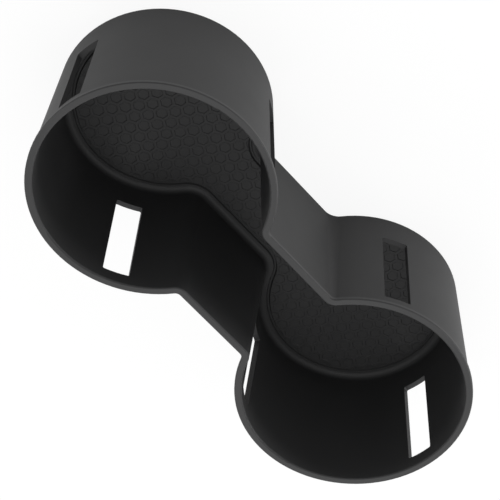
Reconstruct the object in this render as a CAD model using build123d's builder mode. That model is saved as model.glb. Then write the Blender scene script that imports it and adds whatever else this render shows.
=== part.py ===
from build123d import *
from math import ceil, radians, sqrt, tan
import os

# Double cup holder insert for a car console, one moulding, in millimetres.
# X runs along the two cups, Z is up, and the origin is under the middle of the neck on the base plane.

# Plan of the rim, at the outer edge of its lip
cup_spacing = 108.1
rim_radius = 42.0
rim_neck_width = 40.3
rim_neck_blend = 2.3

# Body
height = 57.0
draft_angle = 3.5
wall = 2.0
floor_thickness = 2.0
floor_fillet = 2.2
base_chamfer = 0.4

# Rim
lip_overhang = 0.65
lip_height = 1.3
lip_bevel = 0.35
mouth_round = 0.6

# Groove in the floor, which follows the foot of the wall
groove_offset = 2.75
groove_width = 1.4
groove_depth = 0.7
groove_draft = 30.0

# Slots through the wall, three in each cup
slot_width = 9.6
slot_bottom = 13.4
slot_rim_gap = 5.0
slot_corner = 0.6
slot_spread = 120.0

# Honeycomb of shallow hexagonal pockets inside the groove, with one pocket near the middle of the neck
pocket_pitch = 4.92
pocket_web = 1.0
pocket_depth = 0.2
pocket_draft = 45.0
pocket_border = 0.2
middle_pocket_x = -0.9
middle_pocket_y = 1.25

inner_inset = lip_overhang + wall
groove_outer_inset = inner_inset + groove_offset
groove_inner_inset = groove_outer_inset + groove_width
slot_height = height - slot_rim_gap - slot_bottom


def body_outline(level, inset):
    """Figure-of-eight plan of the drafted body at a height, moved inward from the lip's edge by an inset."""
    shrink = (height - level) * tan(radians(draft_angle)) + inset
    cup_radius = rim_radius - shrink
    neck_half_width = rim_neck_width / 2 - shrink
    with BuildSketch() as outline:
        with Locations((-cup_spacing / 2, 0), (cup_spacing / 2, 0)):
            Circle(cup_radius)
        Rectangle(cup_spacing, 2 * neck_half_width)
        inner_corners = outline.vertices().filter_by(lambda corner: abs(corner.X) < cup_spacing / 2)
        fillet(inner_corners, rim_neck_blend + shrink)
    return outline.sketch


def slot_plane(cup_x, angle):
    """Plane on a cup's axis that looks outward at an angle, centred on the height of the slots."""
    outward = Vector(1, 0, 0).rotate(Axis.Z, angle)
    return Plane(origin=(cup_x, 0, slot_bottom + slot_height / 2), x_dir=(0, 0, 1), z_dir=outward)


def pocket_spots(field):
    """Centres of the pockets that lie on a field, in staggered rows along X."""
    row_step = pocket_pitch * sqrt(3) / 2
    rows = ceil(rim_radius / row_step)
    columns = ceil((cup_spacing / 2 + rim_radius) / pocket_pitch)
    spots = []
    for row in range(-rows, rows + 1):
        row_x = middle_pocket_x + pocket_pitch / 2 * (row % 2)
        row_y = middle_pocket_y + row * row_step
        for column in range(-columns, columns + 1):
            spot = (row_x + column * pocket_pitch, row_y)
            if field.is_inside(spot):
                spots.append(spot)
    return spots


with BuildPart() as pocket:
    # One hexagonal pocket with drafted sides, its points to the front and back
    with BuildSketch(Plane.XY.offset(floor_thickness)):
        RegularPolygon((pocket_pitch - pocket_web) / 2, 6, major_radius=False, rotation=30)
    extrude(amount=-pocket_depth, taper=pocket_draft)

with BuildPart() as insert:
    # Drafted outer body, with a bevelled foot
    with BuildSketch(Plane.XY.offset(height)):
        add(body_outline(height, lip_overhang))
    extrude(amount=-height, taper=draft_angle)
    chamfer(insert.faces().sort_by(Axis.Z)[0].edges(), base_chamfer)

    # Lip round the rim
    with BuildSketch(Plane.XY.offset(height)):
        add(body_outline(height, 0))
    extrude(amount=-lip_height)
    chamfer(insert.faces().sort_by(Axis.Z)[-1].edges(), lip_bevel)

    # Inside of the cups and the neck, an even wall in from the outer body
    with BuildSketch(Plane.XY.offset(height)):
        add(body_outline(height, inner_inset))
    extrude(amount=floor_thickness - height, taper=draft_angle, mode=Mode.SUBTRACT)
    floor_face = insert.faces().filter_by(Axis.Z).sort_by(Axis.Z)[1]
    fillet(floor_face.edges(), floor_fillet)
    mouth_edges = insert.faces().sort_by(Axis.Z)[-1].inner_wires()[0].edges()
    fillet(mouth_edges, mouth_round)

    # Groove in the floor, which follows the wall round the whole of it
    with BuildSketch(Plane.XY.offset(floor_thickness)):
        add(body_outline(floor_thickness, groove_outer_inset))
        add(body_outline(floor_thickness, groove_inner_inset), mode=Mode.SUBTRACT)
    extrude(amount=-groove_depth, taper=groove_draft, mode=Mode.SUBTRACT)

    # Slots, one at each end and two on each side
    slot_planes = []
    for cup_x, outer_end in ((-cup_spacing / 2, 180), (cup_spacing / 2, 0)):
        for turn in (-slot_spread, 0, slot_spread):
            slot_planes.append(slot_plane(cup_x, outer_end + turn))
    with BuildSketch(*slot_planes):
        RectangleRounded(slot_height, slot_width, slot_corner)
    extrude(amount=rim_radius, mode=Mode.SUBTRACT)

    # Honeycomb of whole pockets, with a bare border left inside the groove
    pocket_field = body_outline(floor_thickness, groove_inner_inset + pocket_border + pocket_pitch / 2)
    with Locations(*pocket_spots(pocket_field.face())):
        add(pocket.part, mode=Mode.SUBTRACT)

insert.part.label = "cup_holder_insert"
os.makedirs("parts", exist_ok=True)
export_step(insert.part, "parts/cup_holder_insert.step")
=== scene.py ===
"""Looks of the double cup holder insert: satin black moulding on a white studio floor."""
import math

import bpy
from mathutils import Matrix, Vector


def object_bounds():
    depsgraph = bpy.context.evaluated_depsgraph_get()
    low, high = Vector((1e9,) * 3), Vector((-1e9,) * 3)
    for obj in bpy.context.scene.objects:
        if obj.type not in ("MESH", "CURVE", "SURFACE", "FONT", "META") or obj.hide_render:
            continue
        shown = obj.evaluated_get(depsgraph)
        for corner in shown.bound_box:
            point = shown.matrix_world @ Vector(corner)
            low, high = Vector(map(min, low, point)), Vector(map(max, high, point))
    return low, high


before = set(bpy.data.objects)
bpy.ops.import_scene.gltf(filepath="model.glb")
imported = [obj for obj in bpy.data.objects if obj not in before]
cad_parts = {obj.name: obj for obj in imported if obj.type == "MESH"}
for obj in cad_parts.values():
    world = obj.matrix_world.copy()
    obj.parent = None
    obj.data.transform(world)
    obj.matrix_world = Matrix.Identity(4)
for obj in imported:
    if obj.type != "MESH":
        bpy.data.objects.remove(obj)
cad_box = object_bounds()
BASE_LEVEL = cad_box[0][2]
TOP_LEVEL = cad_box[1][2]

# Camera of the photograph, in metres and degrees
CAMERA_AIM = Vector((-0.001554, -0.003071, 0.02825))
CAMERA_DISTANCE = 0.71206
CAMERA_AZIMUTH = 135.856
CAMERA_ELEVATION = 54.683
CAMERA_ROLL = 174.653
CAMERA_CLIP_START = 0.01
CAMERA_LENS_MM = 145.307
SENSOR_MM = 36.0

# Floor and surroundings. The shares say how much of the floor each kind of ray sees as plain white,
# in place of its lit surface.
FLOOR_SIZE = 6.0
FLOOR_COLOUR = (0.85, 0.85, 0.85, 1.0)
FLOOR_WHITE_SHARES = {"Is Camera Ray": 0.85, "Is Transmission Ray": 0.85, "Is Glossy Ray": 0.2}
FLOOR_WHITE = 1.04
WORLD_COLOUR = (1.0, 1.0, 1.0, 1.0)
WORLD_LIGHT = 0.67

# Soft lights: name, azimuth and elevation in degrees, width and height in metres, and power in watts.
# The first three are low and wide, so that they reach the outer walls and little of the inside.
LIGHT_DISTANCE = 1.2
SOFTBOXES = (
    ("side_light", 50, 5, 1.0, 0.2, 7.2),
    ("end_light", 10, 5, 1.0, 0.2, 2.0),
    ("left_light", 225, 5, 1.0, 0.2, 4.0),
    ("top_light", 0, 90, 0.7, 0.7, 3.0),
    ("back_light", -32, 32, 1.0, 1.0, 2.5),
)

# Moulded plastic: its tone and gloss drift between two values, in patches of a centimetre or two
BODY_COLOUR = (0.022, 0.022, 0.0225, 1.0)
BODY_COLOUR_WORN = (0.026, 0.026, 0.0265, 1.0)
BODY_ROUGHNESS = (0.50, 0.60)
BODY_SPECULAR = 0.35
PATCHES_PER_METRE = 60.0
PATCH_DETAIL = 4.0
GRAIN_SIZE = 0.00035
GRAIN_DETAIL = 2.0
GRAIN_HEIGHT = 0.00001
GRAIN_STRENGTH = 0.5

# Wear of the edges, in a lighter colour that also stands as a painted sheen on the rim's flat top: how far
# their rounding turns the normal, as cosines, and the heights where it sets in
EDGE_WEAR_AND_RIM_SHEEN_COLOUR = (0.041, 0.041, 0.0415, 1.0)
EDGE_ROUND = 0.00012
EDGE_ROUND_SAMPLES = 4
EDGE_TURN = (0.995, 0.90)
EDGE_RUB_START = (0.003, 0.008)

# Painted sheen on the rim's flat top and a painted highlight on its lip's outer face, whose level and
# upright faces are told by the upward part of their normals
LIP_HIGHLIGHT_COLOUR = (0.054, 0.054, 0.0545, 1.0)
LIP_HEIGHT = 0.0013
LIP_HIGHLIGHT_SHARES = (0.7, 1.0)
LEVEL_FACE = 0.95
UPRIGHT_SLACK = 0.03

# Honeycomb of the pad, as the part has it, with the directions that a pocket's sides face
PAD_THICKNESS = 0.0020
PAD_LEVEL = BASE_LEVEL + PAD_THICKNESS
PAD_LEVEL_SLACK = 0.00001
POCKET_PITCH = 0.00492
POCKET_ROW_STEP = POCKET_PITCH * math.sqrt(3) / 2
POCKET_APOTHEM = 0.00196
POCKET_DEPTH = 0.0002
POCKET_SIDES = ((1.0, 0.0, 0.0), (0.5, math.sqrt(3) / 2, 0.0))
MIDDLE_POCKET = Vector((-0.0009, 0.00125, 0.0))

# Middle line of the groove round the pad, an even inset from the rim's edge in plan
RIM_RADIUS = cad_box[1][1]
RIM_NECK_HALF_WIDTH = 0.02015
CUP_CENTRE = Vector((cad_box[1][0] - RIM_RADIUS, 0.0, 0.0))
GROOVE_INSET = 0.00946
GROOVE_RADIUS = RIM_RADIUS - GROOVE_INSET
GROOVE_NECK_HALF_WIDTH = RIM_NECK_HALF_WIDTH - GROOVE_INSET
GROOVE_BLEND = 0.0106


def direction(azimuth, elevation):
    """Unit vector towards an azimuth from +X and an elevation above the floor, in degrees."""
    turn = math.radians(azimuth)
    rise = math.radians(elevation)
    return Vector((math.cos(rise) * math.cos(turn), math.cos(rise) * math.sin(turn), math.sin(rise)))


def facing_object(azimuth, elevation, distance):
    """Place and turn of a camera or light that looks at the object from a direction and distance."""
    outward = direction(azimuth, elevation)
    place = Matrix.Translation(CAMERA_AIM + outward * distance)
    return place @ outward.to_track_quat("Z", "Y").to_matrix().to_4x4()


def make_camera():
    """Camera at the photograph's viewing angle, turned about its own axis as the photograph is."""
    data = bpy.data.cameras.new("photo_camera")
    data.lens = CAMERA_LENS_MM
    data.sensor_width = SENSOR_MM
    data.clip_start = CAMERA_CLIP_START
    camera = bpy.data.objects.new("photo_camera", data)
    bpy.context.scene.collection.objects.link(camera)
    roll = Matrix.Rotation(math.radians(-CAMERA_ROLL), 4, "Z")
    camera.matrix_world = facing_object(CAMERA_AZIMUTH, CAMERA_ELEVATION, CAMERA_DISTANCE) @ roll
    bpy.context.scene.camera = camera


def add_softbox(name, azimuth, elevation, width, height, power):
    """Flat soft light that faces the object from an azimuth and elevation."""
    data = bpy.data.lights.new(name, "AREA")
    data.shape = "RECTANGLE"
    data.size = width
    data.size_y = height
    data.energy = power
    light = bpy.data.objects.new(name, data)
    bpy.context.scene.collection.objects.link(light)
    light.matrix_world = facing_object(azimuth, elevation, LIGHT_DISTANCE)


def make_world():
    """Even white surroundings."""
    world = bpy.data.worlds.new("studio")
    bpy.context.scene.world = world
    world.use_nodes = True
    background = world.node_tree.nodes["Background"]
    background.inputs["Color"].default_value = WORLD_COLOUR
    background.inputs["Strength"].default_value = WORLD_LIGHT


def feed(tree, socket, value):
    """Gives a socket another node's output, or a plain number, vector or colour."""
    if isinstance(value, bpy.types.NodeSocket):
        tree.links.new(value, socket)
    else:
        socket.default_value = value


def add_step(tree, kind, operation, values):
    """Math node of an operation, fed in order; returns its outputs."""
    step = tree.nodes.new(kind)
    step.operation = operation
    for socket, value in zip(step.inputs, values):
        feed(tree, socket, value)
    return step.outputs


def number_step(tree, operation, *values):
    """Number worked out from numbers."""
    return add_step(tree, "ShaderNodeMath", operation, values)["Value"]


def vector_step(tree, operation, *values):
    """Vector worked out from vectors."""
    return add_step(tree, "ShaderNodeVectorMath", operation, values)["Vector"]


def measure_step(tree, operation, *values):
    """Number worked out from vectors."""
    return add_step(tree, "ShaderNodeVectorMath", operation, values)["Value"]


def split(tree, vector):
    """The three parts of a vector."""
    step = tree.nodes.new("ShaderNodeSeparateXYZ")
    tree.links.new(vector, step.inputs["Vector"])
    return step.outputs


def map_range(tree, value, start=0.0, end=1.0, low=0.0, high=1.0):
    """Number that goes from low to high while a value goes from start to end."""
    step = tree.nodes.new("ShaderNodeMapRange")
    for socket, amount in zip(step.inputs, (value, start, end, low, high)):
        feed(tree, socket, amount)
    return step.outputs["Result"]


def mix_colours(tree, share, first, second):
    """First colour with a share of the second mixed in."""
    step = tree.nodes.new("ShaderNodeMix")
    step.data_type = "RGBA"
    feed(tree, step.inputs["Factor"], share)
    feed(tree, step.inputs["A"], first)
    feed(tree, step.inputs["B"], second)
    return step.outputs["Result"]


def add_noise(tree, place, scale, detail):
    """Cloudy noise, from 0 to 1, that stays with the object."""
    noise = tree.nodes.new("ShaderNodeTexNoise")
    noise.inputs["Scale"].default_value = scale
    noise.inputs["Detail"].default_value = detail
    tree.links.new(place, noise.inputs["Vector"])
    return noise.outputs["Fac"]


def add_bump(tree, normal, relief, height, strength=1.0):
    """Normal of a surface after a relief from 0 to 1, of a real height, is put on it."""
    bump = tree.nodes.new("ShaderNodeBump")
    bump.inputs["Distance"].default_value = height
    bump.inputs["Strength"].default_value = strength
    tree.links.new(relief, bump.inputs["Height"])
    tree.links.new(normal, bump.inputs["Normal"])
    return bump.outputs["Normal"]


def make_floor():
    """Plain pale floor that looks white and still takes a soft shadow of the object."""
    bpy.ops.mesh.primitive_plane_add(size=FLOOR_SIZE, location=(0, 0, BASE_LEVEL))
    floor = bpy.context.object
    floor.name = "studio_floor"
    material = bpy.data.materials.new("studio_floor")
    material.use_nodes = True
    tree = material.node_tree
    tree.nodes.clear()
    matt = tree.nodes.new("ShaderNodeBsdfDiffuse")
    matt.inputs["Color"].default_value = FLOOR_COLOUR
    white = tree.nodes.new("ShaderNodeEmission")
    white.inputs["Strength"].default_value = FLOOR_WHITE
    ray = tree.nodes.new("ShaderNodeLightPath")
    share = 0.0
    for kind, amount in FLOOR_WHITE_SHARES.items():
        share = number_step(tree, "MULTIPLY_ADD", ray.outputs[kind], amount, share)
    surface = tree.nodes.new("ShaderNodeMixShader")
    tree.links.new(share, surface.inputs["Fac"])
    tree.links.new(matt.outputs["BSDF"], surface.inputs[1])
    tree.links.new(white.outputs["Emission"], surface.inputs[2])
    out = tree.nodes.new("ShaderNodeOutputMaterial")
    tree.links.new(surface.outputs["Shader"], out.inputs["Surface"])
    floor.data.materials.append(material)


def inside_groove(tree, place):
    """1 on the pad inside the border groove and 0 outside it, worked out for one quarter of the plan."""
    plan = vector_step(tree, "MULTIPLY", place, (1.0, 1.0, 0.0))
    quarter = vector_step(tree, "ABSOLUTE", plan)
    from_axis = measure_step(tree, "DISTANCE", quarter, CUP_CENTRE)
    past_cup = number_step(tree, "SUBTRACT", from_axis, GROOVE_RADIUS)
    neck_corner = CUP_CENTRE + Vector((0.0, GROOVE_NECK_HALF_WIDTH, 0.0))
    past_corner = split(tree, vector_step(tree, "SUBTRACT", quarter, neck_corner))
    past_neck = number_step(tree, "MAXIMUM", past_corner["X"], past_corner["Y"])
    past_groove = number_step(tree, "SMOOTH_MIN", past_cup, past_neck, GROOVE_BLEND)
    return number_step(tree, "LESS_THAN", past_groove, 0.0)


def cut_pockets(tree, place, level):
    """Relief of the pockets that the groove cuts short, at the edge of the pad: 0 in one and 1 elsewhere.

    The part has the whole pockets, whose floors lie below the pad, so these fall only where it has none.
    """
    half_cell = Vector((POCKET_PITCH / 2, POCKET_ROW_STEP, 0.0))
    from_middle = []
    for first_pocket in (MIDDLE_POCKET, MIDDLE_POCKET + half_cell):
        offset = vector_step(tree, "SUBTRACT", place, first_pocket)
        in_cell = vector_step(tree, "WRAP", offset, half_cell, -half_cell)
        quarter = vector_step(tree, "ABSOLUTE", in_cell)
        reaches = [measure_step(tree, "DOT_PRODUCT", quarter, side) for side in POCKET_SIDES]
        from_middle.append(number_step(tree, "MAXIMUM", *reaches))
    nearest = number_step(tree, "MINIMUM", *from_middle)
    relief = map_range(tree, nearest, POCKET_APOTHEM - POCKET_DEPTH, POCKET_APOTHEM)
    on_pad = number_step(tree, "COMPARE", level, PAD_LEVEL, PAD_LEVEL_SLACK)
    within = number_step(tree, "MULTIPLY", on_pad, inside_groove(tree, place))
    elsewhere = number_step(tree, "SUBTRACT", 1.0, within)
    return number_step(tree, "MAXIMUM", relief, elsewhere)


def moulded_plastic():
    """Satin black plastic with a fine moulded grain, faint changes of tone and gloss, worn edges, a
    painted sheen on the rim's top and a painted highlight on its lip.
    """
    material = bpy.data.materials.new("moulded_plastic")
    material.use_nodes = True
    tree = material.node_tree
    shader = tree.nodes["Principled BSDF"]
    shader.inputs["Specular IOR Level"].default_value = BODY_SPECULAR
    place = tree.nodes.new("ShaderNodeTexCoord").outputs["Object"]
    level = split(tree, place)["Z"]
    patches = add_noise(tree, place, PATCHES_PER_METRE, PATCH_DETAIL)

    # Relief: small radii on the edges, the pockets that the groove cuts short, and the grain
    rounding = tree.nodes.new("ShaderNodeBevel")
    rounding.samples = EDGE_ROUND_SAMPLES
    rounding.inputs["Radius"].default_value = EDGE_ROUND
    rounded = rounding.outputs["Normal"]
    pocketed = add_bump(tree, rounded, cut_pockets(tree, place, level), POCKET_DEPTH)
    grain = add_noise(tree, place, 1 / GRAIN_SIZE, GRAIN_DETAIL)
    grained = add_bump(tree, pocketed, grain, GRAIN_HEIGHT, GRAIN_STRENGTH)
    tree.links.new(grained, shader.inputs["Normal"])

    # Lighter places: a painted sheen on the flat top of the rim, and wear on the edges, where the rounded
    # normal leaves the face's own
    face = tree.nodes.new("ShaderNodeNewGeometry").outputs["Normal"]
    upward = split(tree, face)["Z"]
    on_rim = number_step(tree, "GREATER_THAN", level, TOP_LEVEL - LIP_HEIGHT)
    flat = number_step(tree, "GREATER_THAN", upward, LEVEL_FACE)
    rim_top = number_step(tree, "MULTIPLY", on_rim, flat)
    turn = measure_step(tree, "DOT_PRODUCT", rounded, face)
    exposed = map_range(tree, level, *EDGE_RUB_START)
    edge = map_range(tree, turn, *EDGE_TURN, high=exposed)
    edge_wear_and_rim_sheen = number_step(tree, "MAXIMUM", rim_top, edge)

    # The lip's outer face, the only one at the rim without draft, gets a painted highlight, stronger in
    # some patches than in others
    upright = number_step(tree, "COMPARE", upward, 0.0, UPRIGHT_SLACK)
    lip_face = number_step(tree, "MULTIPLY", on_rim, upright)
    lip_highlight_share = map_range(tree, patches, low=LIP_HIGHLIGHT_SHARES[0], high=LIP_HIGHLIGHT_SHARES[1])
    lip = number_step(tree, "MULTIPLY", lip_face, lip_highlight_share)

    colour = mix_colours(tree, patches, BODY_COLOUR, BODY_COLOUR_WORN)
    # Painted sheen on the rim's top, in the same lighter colour as the edge wear
    colour = mix_colours(tree, edge_wear_and_rim_sheen, colour, EDGE_WEAR_AND_RIM_SHEEN_COLOUR)
    # Painted highlight on the lip's outer face
    colour = mix_colours(tree, lip, colour, LIP_HIGHLIGHT_COLOUR)
    tree.links.new(colour, shader.inputs["Base Color"])
    roughness = map_range(tree, patches, low=BODY_ROUGHNESS[0], high=BODY_ROUGHNESS[1])
    tree.links.new(roughness, shader.inputs["Roughness"])
    return material


make_camera()
make_floor()
make_world()
for softbox in SOFTBOXES:
    add_softbox(*softbox)

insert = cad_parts["cup_holder_insert"]
insert.data.materials.clear()
insert.data.materials.append(moulded_plastic())

bpy.context.scene.view_settings.view_transform = "Standard"
